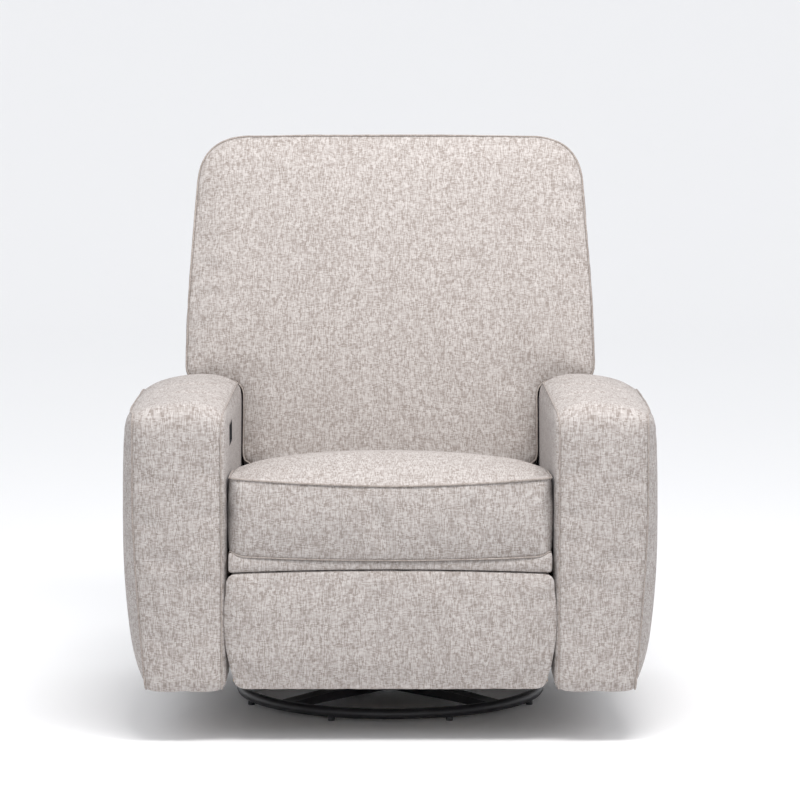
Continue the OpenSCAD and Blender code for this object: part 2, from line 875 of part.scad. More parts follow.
module drive_rivets() {
    color("#9a9ca1") both() {
        x_pin(drive_x, lift_x + link_t + 0.8, drive_q, rivet_d);
        x_pin(lift_x + link_t + 0.2, lift_x + link_t + 1.6, drive_q, 13);
        x_pin(control_x - 1, drive_x + link_t, control_q, rivet_d);
        x_pin(control_x - 2, control_x - 0.2, control_q, 13);
    }
}

module lift_links() {
    color("#3a3b40") both() side_plane(lift_x, link_t) difference() {
        union() {
            bar(drive_q, lift_r, 20, 26);
            bar(drive_q, guide_q, 20, 24);
        }
        hole(drive_q, rivet_d + 2 * GAP);
        hole(lift_r, rivet_d);
        hole(guide_q, rivet_d);
    }
}

module lift_rivets() {
    color("#9a9ca1") both() {
        x_pin(control_x + link_t + 1, lift_x + link_t, lift_r, rivet_d);
        x_pin(control_x + link_t + 0.4, drive_x - 0.2, lift_r, 13);
        x_pin(lift_x, guide_x + link_t + 1, guide_q, rivet_d);
        x_pin(guide_x + link_t + 0.2, guide_x + link_t + 1.6, guide_q, 17);
    }
}

// The far eye is a clearance hole: this is where the linkage's loop is left open
module guide_links() {
    color("#3a3b40") both() side_plane(guide_x, link_t) difference() {
        bar(guide_p, guide_end, 18, 26);
        hole(guide_p, rivet_d + 2 * GAP);
        hole(guide_end, guide_hole);
    }
}

module control_links() {
    color("#3a3b40") both() side_plane(control_x, link_t) difference() {
        union() {
            bar(control_q, control_end, 18, 24);
            hole(control_end, 28);
        }
        hole(control_q, rivet_d + 2 * GAP);
        hole(control_end, control_hole);
    }
}

// Panel bracket with a flange that is screwed to the board
board_y = front_y + 58;
board_t = 12;
flange_t = 4;
screw_x = drive_x - 12;

// Cylinders along Y at the bracket's two screws, from y0 towards the rear
module board_screws(y0, h, d) {
    for (z = [186, 246]) translate([screw_x, y0, z]) rotate([-90, 0, 0]) cylinder(h = h, d = d);
}

module bracket() {
    difference() {
        union() {
            side_plane(drive_x, link_t) {
                bar(lift_r, bracket_q, 22, 26);
                polygon([[board_y, 172], [board_y, 260], [bracket_q[0], bracket_q[1] + 11], [lift_r[0], lift_r[1] - 11]]);
            }
            box([drive_x - 22, board_y, 172], [drive_x + link_t, board_y + flange_t, 260]);
        }
        x_pin(drive_x - 1, drive_x + link_t + 1, lift_r, rivet_d + 2 * GAP);
        x_pin(drive_x - 1, drive_x + link_t + 1, bracket_q, rivet_d);
        board_screws(board_y - 1, flange_t + 2, 5);
    }
}

module bracket_left() {
    color("#2a2b2f") bracket();
}

module bracket_right() {
    color("#2a2b2f") mirror([1, 0, 0]) bracket();
}

module bracket_rivets() {
    color("#9a9ca1") both() {
        x_pin(control_x - 1, drive_x + link_t, bracket_q, rivet_d);
        x_pin(control_x - 2.2, control_x - 0.4, bracket_q, 21);
    }
}

module bracket_screws() {
    color("#8b8d92") both() {
        board_screws(board_y - board_t + 1, board_t + flange_t, 5);
        board_screws(board_y + flange_t, 3, 10);
    }
}

module footrest_board() {
    color("#c9a574") difference() {
        box([-arm_in + 8, board_y - board_t, panel_z + 6], [arm_in - 8, board_y, panel_top - 6]);
        both() board_screws(board_y - board_t + 1, board_t, 5);
    }
}

// Foam and fabric over the board's front and edges
module footrest_pad() {
    y0 = front_y + 5;
    color("#cfc8c2") difference() {
        side_plane(-arm_in + 2, seat_gap - 4) polygon(concat(
            corner([y0, panel_z + 16], [y0, panel_z], [y0 + 14, panel_z]),
            [[board_y, panel_z], [board_y, panel_top]],
            corner([y0 + 14, panel_top], [y0, panel_top], [y0, panel_top - 16])
        ));
        box([-arm_in + 8, board_y - board_t, panel_z + 6], [arm_in - 8, board_y + 1, panel_top - 6]);
    }
}

base_ring();
base_cross();
floor_glides();
lower_race();
swivel_balls();
swivel_bolt();
upper_race();
carriage_frame();
hanger_plates();
hanger_pins();
carriage_bolts();
rear_glide_links();
rear_link_bushes();
front_glide_links();
front_link_bushes();
side_plate_left();
side_plate_right();
rocker_pins();
tie_tubes();
seat_angles();
arm_frame_left();
arm_frame_right();
arm_cover_left();
arm_cover_right();
arm_bolts();
arm_sleeves();
seat_frame();
seat_springs();
seat_cushion();
front_rail_cover();
rear_panel();
release_cup();
lever_pin();
release_lever();
release_cable();
cable_clip();
latch_pin();
latch_pawl();
back_hinge_pins();
back_hinge_arms();
back_frame();
back_cushion();
outside_back();
footrest_plates();
footrest_sleeves();
footrest_bolts();
footrest_pins();
torque_tube();
drive_links();
drive_rivets();
lift_links();
lift_rivets();
guide_links();
control_links();
bracket_left();
bracket_right();
bracket_rivets();
bracket_screws();
footrest_board();
footrest_pad();
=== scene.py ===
import json
import math

import bpy
import numpy as np
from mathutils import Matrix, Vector
from mathutils.geometry import delaunay_2d_cdt


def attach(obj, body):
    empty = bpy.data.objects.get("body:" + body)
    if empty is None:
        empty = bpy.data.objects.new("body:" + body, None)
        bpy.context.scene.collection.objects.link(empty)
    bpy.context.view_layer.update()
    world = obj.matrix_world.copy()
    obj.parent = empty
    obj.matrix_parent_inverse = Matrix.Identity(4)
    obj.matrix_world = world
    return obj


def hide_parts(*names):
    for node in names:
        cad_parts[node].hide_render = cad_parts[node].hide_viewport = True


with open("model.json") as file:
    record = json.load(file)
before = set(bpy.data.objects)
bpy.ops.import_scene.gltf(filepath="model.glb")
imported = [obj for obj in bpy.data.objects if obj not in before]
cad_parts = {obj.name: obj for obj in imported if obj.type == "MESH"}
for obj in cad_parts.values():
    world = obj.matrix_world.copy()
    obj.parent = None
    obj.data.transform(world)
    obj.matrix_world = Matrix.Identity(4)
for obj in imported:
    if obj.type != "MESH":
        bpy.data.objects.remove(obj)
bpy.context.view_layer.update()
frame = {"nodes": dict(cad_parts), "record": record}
rng = np.random.default_rng(7)

FLOOR_TONE = (0.90, 0.90, 0.905, 1)
FLOOR_Z = -0.0005

# The chair's main measures in the row frame, in metres
ARM_IN = 0.276
ARM_FRONT = -0.455
ARM_REAR = 0.300
ARM_TOP = 0.577
ARM_LOW = 0.088
CROWN_X = 0.335
BULGE_Z = 0.350
HALF_WIDTH = 0.458
RAKE = math.radians(16)
BACK_ORIGIN = np.array([0.0, 0.11964, 0.460])
BACK_DEPTH = 0.120

# The boxes that an arm's timber frame and the handle cup need, as low and high corners on the left arm
FRAME_SPACE = ((0.290, -0.437, 0.091), (0.402, 0.278, 0.525))
CUP_SPACE = ((0.260, -0.3155, 0.4915), (0.2998, -0.2245, 0.5285))

# The seat cushion: its plan, its crest, the heights of its seams and its fall to the rear
SEAT_HALF = 0.2715
SEAT_FRONT = -0.4465
SEAT_REAR = 0.104
CREST_Y = -0.22
CREST = 0.0325
SEAT_TOP_SEAM = 0.4385
SEAT_LOW_SEAM = 0.3135
SEAT_BOTTOM = 0.3200
SEAT_FALL = 0.12

# Front rail, footrest and rear panel: the y of their faces, and the heights of the sill and the foot's edge
RAIL_FRONT = -0.4470
RAIL_REAR = -0.4330
SILL_Z = 0.2902
FOOT_LOW = 0.0930
FOOT_SEAM = -0.4475
FOOT_REAR = -0.3995
PANEL_REAR = 0.2880
PANEL_FRONT = 0.2805

# The back, in its own frame: the ears' lower edge, the neck's half width, and the depths of its seams
EAR_UP = 0.1145
NECK = 0.2550
BACK_SEAM = 0.012
SHELL_SEAM = BACK_DEPTH + 0.059
SHELL_INNER = BACK_DEPTH + 0.0465

# The camera: its distance, height, tilt down, turn, lens and sensor
CAMERA_AWAY = 6.0
CAMERA_UP = 1.142
CAMERA_TILT = 0.10
CAMERA_TURN = -0.00295
CAMERA_LENS = 149.6
CAMERA_SENSOR = 36


# ---- Outlines ----


def resample(points, step):
    """The closed outline through points, with points of equal spacing near step."""
    p = np.array(points, float)
    q = np.vstack([p, p[:1]])
    run = np.concatenate([[0], np.cumsum(np.linalg.norm(np.diff(q, axis=0), axis=1))])
    n = int(round(run[-1] / step))
    at = np.arange(n) * run[-1] / n
    return np.stack([np.interp(at, run, q[:, 0]), np.interp(at, run, q[:, 1])], 1)


def corner(a, b, c, n=10):
    """Points of a corner that bends from a to c round b."""
    a, b, c = (np.array(v, float) for v in (a, b, c))
    t = np.linspace(0, 1, n)[:, None]
    return [*((1 - t) ** 2 * a + 2 * t * (1 - t) * b + t * t * c)]


def rounded_box(x0, x1, y0, y1, low, high=None):
    """A rectangle with corner cuts of low at its lower edge and high at its upper edge."""
    high = low if high is None else high
    return [
        *corner((x0, y0 + low), (x0, y0), (x0 + low, y0)),
        *corner((x1 - low, y0), (x1, y0), (x1, y0 + low)),
        *corner((x1, y1 - high), (x1, y1), (x1 - high, y1)),
        *corner((x0 + high, y1), (x0, y1), (x0, y1 - high)),
    ]


def unit(rows):
    """The rows, each scaled to length 1."""
    return rows / np.linalg.norm(rows, axis=1)[:, None]


def outward(loop):
    """Unit normals of a counterclockwise outline, pointing out."""
    d = unit(np.roll(loop, -1, 0) - np.roll(loop, 1, 0))
    return np.stack([d[:, 1], -d[:, 0]], 1)


def near(points, loop):
    """Distance of each point to the outline, the index of the nearest vertex, and inside or not."""
    a, b = loop, np.roll(loop, -1, 0)
    ab = b - a
    ap = points[:, None, :] - a[None]
    t = np.clip((ap * ab).sum(2) / (ab * ab).sum(1), 0, 1)
    gap = np.linalg.norm(ap - t[..., None] * ab, axis=2)
    index = gap.argmin(1)
    y, x = points[:, 1][:, None], points[:, 0][:, None]
    crosses = (a[:, 1] > y) != (b[:, 1] > y)
    with np.errstate(divide="ignore", invalid="ignore"):
        at = a[:, 0] + (y - a[:, 1]) * ab[:, 0] / ab[:, 1]
    inside = (crosses & (x < at)).sum(1) % 2 == 1
    return gap.min(1), index, inside


def rise(d, length):
    """0 at a seam, rising to 1 within a few times length of it."""
    return 1 - np.exp(-d / length)


def level(depth):
    """The depth function of a cap that lies flat at depth."""
    return lambda u, v, gap, index: np.full(len(u), depth)


def swollen(depth, swell, length):
    """The depth function of a cap that rises by swell from its seam at depth."""
    return lambda u, v, gap, index: depth + swell * rise(gap, length)


def straight(loop, start, end):
    """The section function of a band that runs straight from start to end."""
    return lambda t: (loop, np.full(len(loop), start + (end - start) * t))


# ---- Upholstery panels ----


def cap_points(loop, step, insets=(0.0025, 0.006, 0.011)):
    """The outline, rings just inside it and a staggered grid, triangulated."""
    pts = [loop]
    n = outward(loop)
    for k, inset in enumerate(insets):
        ring = (loop - n * inset)[k % 2 :: 2] if k else loop - n * inset
        gap, _, inside = near(ring, loop)
        pts.append(ring[inside & (gap > inset * 0.8)])
    lo, hi = loop.min(0), loop.max(0)
    xs = np.arange(lo[0], hi[0], step)
    ys = np.arange(lo[1], hi[1], step * 0.87)
    grid = np.array([(x + (j % 2) * step / 2, y) for j, y in enumerate(ys) for x in xs])
    gap, _, inside = near(grid, loop)
    pts.append(grid[inside & (gap > insets[-1] + step * 0.45)])
    flat = np.vstack(pts)
    made = delaunay_2d_cdt([Vector(p) for p in flat], [], [list(range(len(loop)))], 1, 1e-7)
    verts = np.array([tuple(v) for v in made[0]])
    return verts, [list(f) for f in made[2]]


class Pad:
    """A closed upholstered solid: two panels, cap a and cap b, joined by a band along their outline."""

    def __init__(self, name, loop, step, rows):
        self.name, self.loop, self.step, self.rows = name, loop, step, rows
        self.verts, self.faces, self.uv, self.pin = [], [], [], []
        self.count = 0

    def add(self, verts, faces, uv, pin):
        """Takes in a panel's vertices and faces, its weave coordinates and which vertices are held."""
        self.verts.append(verts)
        self.faces += [[i + self.count for i in f] for f in faces]
        self.uv.append(uv)
        self.pin.append(pin)
        self.count += len(verts)

    def cap(self, depth, place, flip=False, fixed=False, loop=None):
        """A panel. depth(u, v, gap, index) gives its third coordinate."""
        loop = self.loop if loop is None else loop
        flat, faces = cap_points(loop, self.step)
        gap, index, _ = near(flat, loop)
        edge = gap < 1e-5
        verts = place(flat[:, 0], flat[:, 1], depth(flat[:, 0], flat[:, 1], np.where(edge, 0, gap), index))
        if flip:
            faces = [f[::-1] for f in faces]
        self.add(verts, faces, flat, np.ones(len(flat)) if fixed else edge.astype(float))

    def band(self, section, place, flip=False, fixed=False, lengthwise=False):
        """The strip between the caps. section(t) gives its outline and third coordinate for t from 0 to 1.

        The weave's upright direction crosses the strip, or follows it where lengthwise is true."""
        n = len(self.loop)
        run = np.linalg.norm(np.roll(self.loop, -1, 0) - self.loop, axis=1).cumsum()
        run = np.concatenate([[0], run])
        ts = np.linspace(0, 1, self.rows + 1)
        verts, uv, pin = [], [], []
        for t in ts:
            pts, w = section(t)
            pts = np.vstack([pts, pts[:1]])
            w = np.append(w, w[0])
            verts.append(place(pts[:, 0], pts[:, 1], w))
            uv.append(np.stack([w, run] if lengthwise else [run, w], 1))
            pin.append(np.full(n + 1, float(fixed or t in (0.0, 1.0))))
        m = n + 1
        faces = []
        for j in range(len(ts) - 1):
            for i in range(n):
                f = [j * m + i, j * m + i + 1, (j + 1) * m + i + 1, (j + 1) * m + i]
                faces.append(f if flip else f[::-1])
        self.add(np.vstack(verts), faces, np.vstack(uv), np.concatenate(pin))

    def build(self):
        """The mesh object, with its parts merged along the seams and a weave UV map in metres."""
        verts, uv, pin = np.vstack(self.verts), np.vstack(self.uv), np.concatenate(self.pin)
        key, back = {}, np.zeros(len(verts), int)
        keep = []
        for i, v in enumerate(np.round(verts, 6)):
            k = tuple(v)
            if k not in key:
                key[k] = len(keep)
                keep.append(i)
            back[i] = key[k]
        mesh = bpy.data.meshes.new(self.name)
        faces, corners = [], []
        for f in self.faces:
            g = [int(back[i]) for i in f]
            if len(set(g)) == len(g):
                faces.append(g)
                corners += f
        mesh.from_pydata([tuple(verts[i]) for i in keep], [], faces)
        layer = mesh.uv_layers.new(name="weave")
        layer.data.foreach_set("uv", uv[corners].astype(np.float32).ravel())
        mesh.validate()
        mesh.polygons.foreach_set("use_smooth", [True] * len(mesh.polygons))
        obj = bpy.data.objects.new(self.name, mesh)
        bpy.context.scene.collection.objects.link(obj)
        strong = np.zeros(len(keep))
        np.maximum.at(strong, back, pin)
        group = obj.vertex_groups.new(name="pin")
        for i in np.nonzero(strong > 0.5)[0]:
            group.add([int(i)], 1.0, "REPLACE")
        return obj


def coords(mesh):
    """The mesh's vertex positions, one row each."""
    co = np.zeros(len(mesh.vertices) * 3, np.float32)
    mesh.vertices.foreach_get("co", co)
    return co.reshape(-1, 3).astype(float)


def set_coords(mesh, co):
    """Moves the mesh's vertices to the rows of co."""
    mesh.vertices.foreach_set("co", co.astype(np.float32).ravel())
    mesh.update()


def stuff(obj, limit, pressure, frames=14, grow=0.008, bending=6.0):
    """Simulates the cover as cloth under the pressure of its filling, held along its seams.

    No vertex ends further than limit from where it started."""
    rest = coords(obj.data)
    cloth = obj.modifiers.new("cloth", "CLOTH")
    s = cloth.settings
    s.quality = 5
    s.mass = 0.4
    s.use_pressure = True
    s.uniform_pressure_force = pressure
    s.shrink_min = -grow
    s.tension_stiffness = s.compression_stiffness = 30
    s.shear_stiffness = 12
    s.bending_stiffness = bending
    s.vertex_group_mass = "pin"
    s.effector_weights.gravity = 0
    cloth.collision_settings.use_self_collision = False
    scene = bpy.context.scene
    cloth.point_cache.frame_start = 1
    cloth.point_cache.frame_end = frames
    for f in range(1, frames + 1):
        scene.frame_set(f)
    graph = bpy.context.evaluated_depsgraph_get()
    moved = coords(obj.evaluated_get(graph).data)
    obj.modifiers.remove(cloth)
    step = moved - rest
    size = np.linalg.norm(step, axis=1)
    size[~np.isfinite(size)] = 0
    scale = np.where(size > 1e-9, limit * np.tanh(size / limit) / np.maximum(size, 1e-9), 0)
    set_coords(obj.data, rest + np.nan_to_num(step) * scale[:, None])
    scene.frame_set(1)


def refine(obj):
    """Subdivides the finished cover once, so that its seams and puckers stay round."""
    sub = obj.modifiers.new("fine", "SUBSURF")
    sub.levels = sub.render_levels = 1
    sub.uv_smooth = "NONE"
    graph = bpy.context.evaluated_depsgraph_get()
    mesh = bpy.data.meshes.new_from_object(obj.evaluated_get(graph))
    obj.modifiers.remove(sub)
    obj.data = mesh


def welt(name, path, normals, width, height, body, material, closed=True, sink=0.0006):
    """A slim folded seam edge that follows path and stands off along normals."""
    p = np.array(path, float)
    n = np.array(normals, float)
    count = len(p)
    if closed:
        t = np.roll(p, -1, 0) - np.roll(p, 1, 0)
    else:
        t = np.gradient(p, axis=0)
    side = unit(np.cross(unit(t), n))
    wobble = 1 + 0.10 * np.convolve(rng.normal(size=count + 8), np.ones(9) / 3, "valid")
    profile = [(math.cos(a), math.sin(a)) for a in np.linspace(0, 2 * math.pi, 9)[:-1]]
    verts, uv = [], []
    run = np.concatenate([[0], np.linalg.norm(np.diff(p, axis=0), axis=1).cumsum()])
    for k, (c, s) in enumerate(profile):
        reach = height / 2 * (1 + s) * wobble - sink
        verts.append(p + side * (width / 2 * c) + n * reach[:, None])
        uv.append(np.stack([np.full(count, k * width / 3), run], 1))
    verts, uv = np.stack(verts, 1).reshape(-1, 3), np.stack(uv, 1).reshape(-1, 2)
    m = len(profile)
    faces = []
    last = count if closed else count - 1
    for i in range(last):
        j = (i + 1) % count
        for k in range(m):
            k2 = (k + 1) % m
            faces.append([i * m + k, i * m + k2, j * m + k2, j * m + k])
    if not closed:
        faces.append(list(range(m))[::-1])
        faces.append([(count - 1) * m + k for k in range(m)])
    mesh = bpy.data.meshes.new(name)
    mesh.from_pydata([tuple(v) for v in verts], [], faces)
    layer = mesh.uv_layers.new(name="weave")
    index = [v for f in faces for v in f]
    layer.data.foreach_set("uv", uv[index].astype(np.float32).ravel())
    mesh.validate()
    mesh.polygons.foreach_set("use_smooth", [True] * len(mesh.polygons))
    obj = bpy.data.objects.new(name, mesh)
    bpy.context.scene.collection.objects.link(obj)
    obj.data.materials.append(material)
    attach(obj, body)
    return obj


# ---- Materials ----


class Nodes:
    """A material's node tree, built by short calls."""

    def __init__(self, name):
        self.mat = bpy.data.materials.new(name)
        self.mat.use_nodes = True
        self.tree = self.mat.node_tree
        self.tree.nodes.clear()
        self.out = self.node("ShaderNodeOutputMaterial")
        self.bsdf = self.node("ShaderNodeBsdfPrincipled")
        self.link(self.bsdf, 0, self.out, "Surface")

    def node(self, kind, **props):
        """A new node of this kind."""
        n = self.tree.nodes.new(kind)
        for k, v in props.items():
            setattr(n, k, v)
        return n

    def link(self, a, i, b, j):
        """Joins output i of node a to input j of node b."""
        self.tree.links.new(a.outputs[i], b.inputs[j])

    def noise(self, source, scale, detail=2.0, stretch=(1, 1, 1), rough=0.5):
        """Smooth noise, its coordinates multiplied by stretch."""
        m = self.node("ShaderNodeMapping")
        m.inputs["Scale"].default_value = stretch
        self.link(*source, m, "Vector")
        n = self.node("ShaderNodeTexNoise")
        n.inputs["Scale"].default_value = scale
        n.inputs["Detail"].default_value = detail
        n.inputs["Roughness"].default_value = rough
        self.link(m, 0, n, "Vector")
        return (n, 0)

    def dashes(self, source, width, height):
        """Random tones in cells of width by height, each row or column shifted by its own amount."""
        long = 1 if height > width else 0
        m = self.node("ShaderNodeMapping")
        m.inputs["Scale"].default_value = (1 / width, 1 / height, 1)
        self.link(*source, m, "Vector")
        xyz = self.node("ShaderNodeSeparateXYZ")
        self.link(m, 0, xyz, 0)
        line = self.math("FLOOR", (xyz, 1 - long))
        shift = self.node("ShaderNodeTexWhiteNoise", noise_dimensions="1D")
        self.link(*line, shift, "W")
        cell = self.math("FLOOR", self.math("ADD", (xyz, long), (shift, 0)))
        pair = self.node("ShaderNodeCombineXYZ")
        self.link(*line, pair, 0)
        self.link(*cell, pair, 1)
        tone = self.node("ShaderNodeTexWhiteNoise", noise_dimensions="2D")
        self.link(pair, 0, tone, "Vector")
        return (tone, 0)

    def ramp(self, source, *stops):
        """The source mapped through stops of (position, grey or colour)."""
        r = self.node("ShaderNodeValToRGB")
        while len(r.color_ramp.elements) < len(stops):
            r.color_ramp.elements.new(0.5)
        for e, (at, value) in zip(r.color_ramp.elements, stops):
            e.position = at
            e.color = (value, value, value, 1) if isinstance(value, (int, float)) else (*value, 1)
        self.link(*source, r, 0)
        return (r, 0)

    def math(self, operation, a, b=None):
        """A sum, product or the like of a and b, each a number or another node's output."""
        n = self.node("ShaderNodeMath", operation=operation)
        for i, v in enumerate((a, b)):
            if isinstance(v, tuple):
                self.link(*v, n, i)
            elif v is not None:
                n.inputs[i].default_value = v
        return (n, 0)

    def mix(self, factor, a, b):
        """The colour a where factor is 0 and b where it is 1."""
        n = self.node("ShaderNodeMix", data_type="RGBA")
        for socket, v in (("Factor", factor), ("A", a), ("B", b)):
            s = next(x for x in n.inputs if x.name == socket and x.enabled)
            if isinstance(v, tuple) and hasattr(v[0], "outputs"):
                self.tree.links.new(v[0].outputs[v[1]], s)
            else:
                s.default_value = v if socket == "Factor" else (*v, 1)
        return (n, 2)

    def bump(self, source, strength, distance):
        """Relief from the source as a height."""
        n = self.node("ShaderNodeBump")
        n.inputs["Strength"].default_value = strength
        n.inputs["Distance"].default_value = distance
        self.link(*source, n, "Height")
        return (n, 0)

    def set(self, **values):
        """Sets the surface's inputs, each to a value or to another node's output."""
        for k, v in values.items():
            socket = self.bsdf.inputs[k.replace("_", " ")]
            if isinstance(v, tuple) and hasattr(v[0], "outputs"):
                self.tree.links.new(v[0].outputs[v[1]], socket)
            else:
                socket.default_value = v
        return self.mat


def fabric(name, light, slub):
    """Heathered chenille: short light and taupe dashes of yarn, upright and across, in staggered rows."""
    n = Nodes(name)
    uv = (n.node("ShaderNodeUVMap", uv_map="weave"), 0)
    upright = n.dashes(uv, 0.0016, 0.0075)
    across = n.dashes(uv, 0.0055, 0.0018)
    yarn = n.math("ADD", n.math("MULTIPLY", upright, 0.55), n.math("MULTIPLY", across, 0.45))
    slubs = n.ramp(yarn, (0.10, 0), (0.90, 1))
    fine = n.noise(uv, 1, 2.0, (1500, 1100, 1))
    wash = n.noise(uv, 1, 3.0, (7, 7, 1))
    dim = tuple(c * 0.95 for c in light)
    ground = n.mix(n.ramp(wash, (0.35, 0), (0.7, 1)), light, dim)
    ground = n.mix(n.math("MULTIPLY", n.ramp(fine, (0.35, 0), (0.75, 1)), 0.25), ground, slub)
    colour = n.mix(slubs, ground, slub)
    height = n.math("ADD", n.math("MULTIPLY", slubs, -0.8), n.math("MULTIPLY", fine, 0.7))
    n.set(
        Base_Color=colour,
        Roughness=0.94,
        Specular_IOR_Level=0.12,
        Sheen_Weight=0.08,
        Sheen_Roughness=0.5,
        Sheen_Tint=(0.90, 0.93, 1.0, 1),
        Normal=n.bump(height, 0.30, 0.0008),
    )
    return n.mat


def plain(name, low, high, rough, metallic=0.0, grain=900, bump=0.15, stretch=(1, 1, 1)):
    """A finish that varies a little in tone, roughness and relief."""
    n = Nodes(name)
    place = (n.node("ShaderNodeTexCoord"), 3)
    tone = n.noise(place, 35, 4.0)
    fine = n.noise(place, grain, 2.0, stretch)
    mixed = n.math("ADD", n.math("MULTIPLY", tone, 0.6), n.math("MULTIPLY", fine, 0.4))
    n.set(
        Base_Color=n.mix(n.ramp(mixed, (0.35, 0), (0.65, 1)), low, high),
        Roughness=n.math("ADD", n.math("MULTIPLY", fine, 0.18), rough - 0.09),
        Metallic=metallic,
        Normal=n.bump(fine, bump, 0.0004),
    )
    return n.mat


def timber():
    """Softwood with grain along its length and darker knots of tone."""
    n = Nodes("timber")
    place = (n.node("ShaderNodeTexCoord"), 3)
    grain = n.noise(place, 1, 6.0, (40, 6, 120), 0.6)
    fine = n.noise(place, 1, 3.0, (700, 60, 900))
    streak = n.ramp(grain, (0.35, 0), (0.52, 0.55), (0.68, 1))
    colour = n.mix(streak, (0.62, 0.43, 0.25), (0.80, 0.62, 0.41))
    colour = n.mix(n.math("MULTIPLY", fine, 0.35), colour, (0.50, 0.34, 0.20))
    n.set(Base_Color=colour, Roughness=0.62, Normal=n.bump(fine, 0.2, 0.0005))
    return n.mat


FABRIC = fabric("chenille", (0.515, 0.486, 0.470), (0.245, 0.211, 0.192))
# The welts' chenille is darker than the cover's: painted shade that draws the dark lines of shadow along the
# seams
SHADED_SEAM = fabric("chenille_seam_painted_shade", (0.400, 0.360, 0.335), (0.240, 0.205, 0.183))
FINISH = {
    "upholstery": FABRIC,
    "timber": timber(),
    "black_steel": plain("black_powder_coat", (0.010, 0.010, 0.012), (0.022, 0.022, 0.026), 0.42, grain=1400),
    "mechanism_steel": plain("grey_e_coat", (0.045, 0.046, 0.050), (0.075, 0.076, 0.082), 0.40, grain=700),
    "zinc_steel": plain(
        "zinc", (0.52, 0.53, 0.55), (0.70, 0.71, 0.72), 0.30, 1.0, grain=420, stretch=(1, 3, 3)
    ),
    "spring_steel": plain("spring_wire", (0.26, 0.27, 0.29), (0.40, 0.41, 0.43), 0.34, 1.0, grain=600),
    "nylon": plain("nylon", (0.78, 0.76, 0.69), (0.86, 0.84, 0.79), 0.45, grain=800, bump=0.08),
    "black_plastic": plain("black_plastic", (0.018, 0.018, 0.020), (0.032, 0.032, 0.035), 0.48, grain=1800),
    "cable_sheath": plain("cable_sheath", (0.012, 0.012, 0.013), (0.024, 0.024, 0.026), 0.50, grain=1200),
}
for part in frame["record"]["subparts"]:
    mesh = frame["nodes"][part["node"]].data
    mesh.materials.clear()
    mesh.materials.append(FINISH[part["material_slot"]])


def upholster(obj, body, node):
    """Covers a finished pad with the fabric, attaches it to its body and hides the CAD node that it stands in
    for.
    """
    obj.data.materials.append(FABRIC)
    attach(obj, body)
    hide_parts(node)


# ---- Arms ----


def crown_height(y):
    """Height of the arm's crown at y: level in front, falling where it passes under the back's ear."""
    back_part = np.clip((y - 0.09) / 0.09, 0, 1)
    return ARM_TOP - 0.001 - 0.016 * back_part**2


def side_reach(z):
    """How far out the arm's outer side stands at height z."""
    fall = np.where(z < BULGE_Z, 0.37, 0.095)
    return HALF_WIDTH - 0.001 - fall * (z - BULGE_Z) ** 2


def front_edge(z):
    """How far out the front strip's outer seam lies at height z."""
    return 0.434 - 0.020 * np.clip((0.400 - z) / 0.31, 0, 1) ** 1.4


def dome(x):
    """How far the arm's top lies below its crown at x."""
    x = np.asarray(x, float)
    inner, outer = np.minimum(x - CROWN_X, 0), np.maximum(x - CROWN_X, 0)
    edge = np.clip((x - 0.425) / 0.026, 0, 1)
    lip = np.clip((0.300 - x) / 0.022, 0, 1)
    return 3.6 * inner**2 + 1.45 * outer**2 + 0.005 * edge**2 + 0.006 * lip**2


def arm_loop():
    """The arm's side outline as (y, z), counterclockwise from the rear's lower corner."""
    roll_start = (ARM_FRONT + 0.046, crown_height(-0.39))
    front_roll = corner(roll_start, (ARM_FRONT, ARM_TOP), (ARM_FRONT, 0.530), 16)
    top = [(y, crown_height(y)) for y in np.linspace(0.172, ARM_FRONT + 0.056, 26)]
    return resample(
        [
            *corner((ARM_REAR - 0.014, ARM_LOW), (ARM_REAR, ARM_LOW), (ARM_REAR, ARM_LOW + 0.014)),
            *corner((ARM_REAR, 0.492), (ARM_REAR - 0.002, 0.548), (0.180, crown_height(0.180)), 16),
            *top,
            *front_roll,
            *corner((ARM_FRONT, ARM_LOW + 0.016), (ARM_FRONT, ARM_LOW), (ARM_FRONT + 0.016, ARM_LOW)),
        ],
        0.0085,
    )


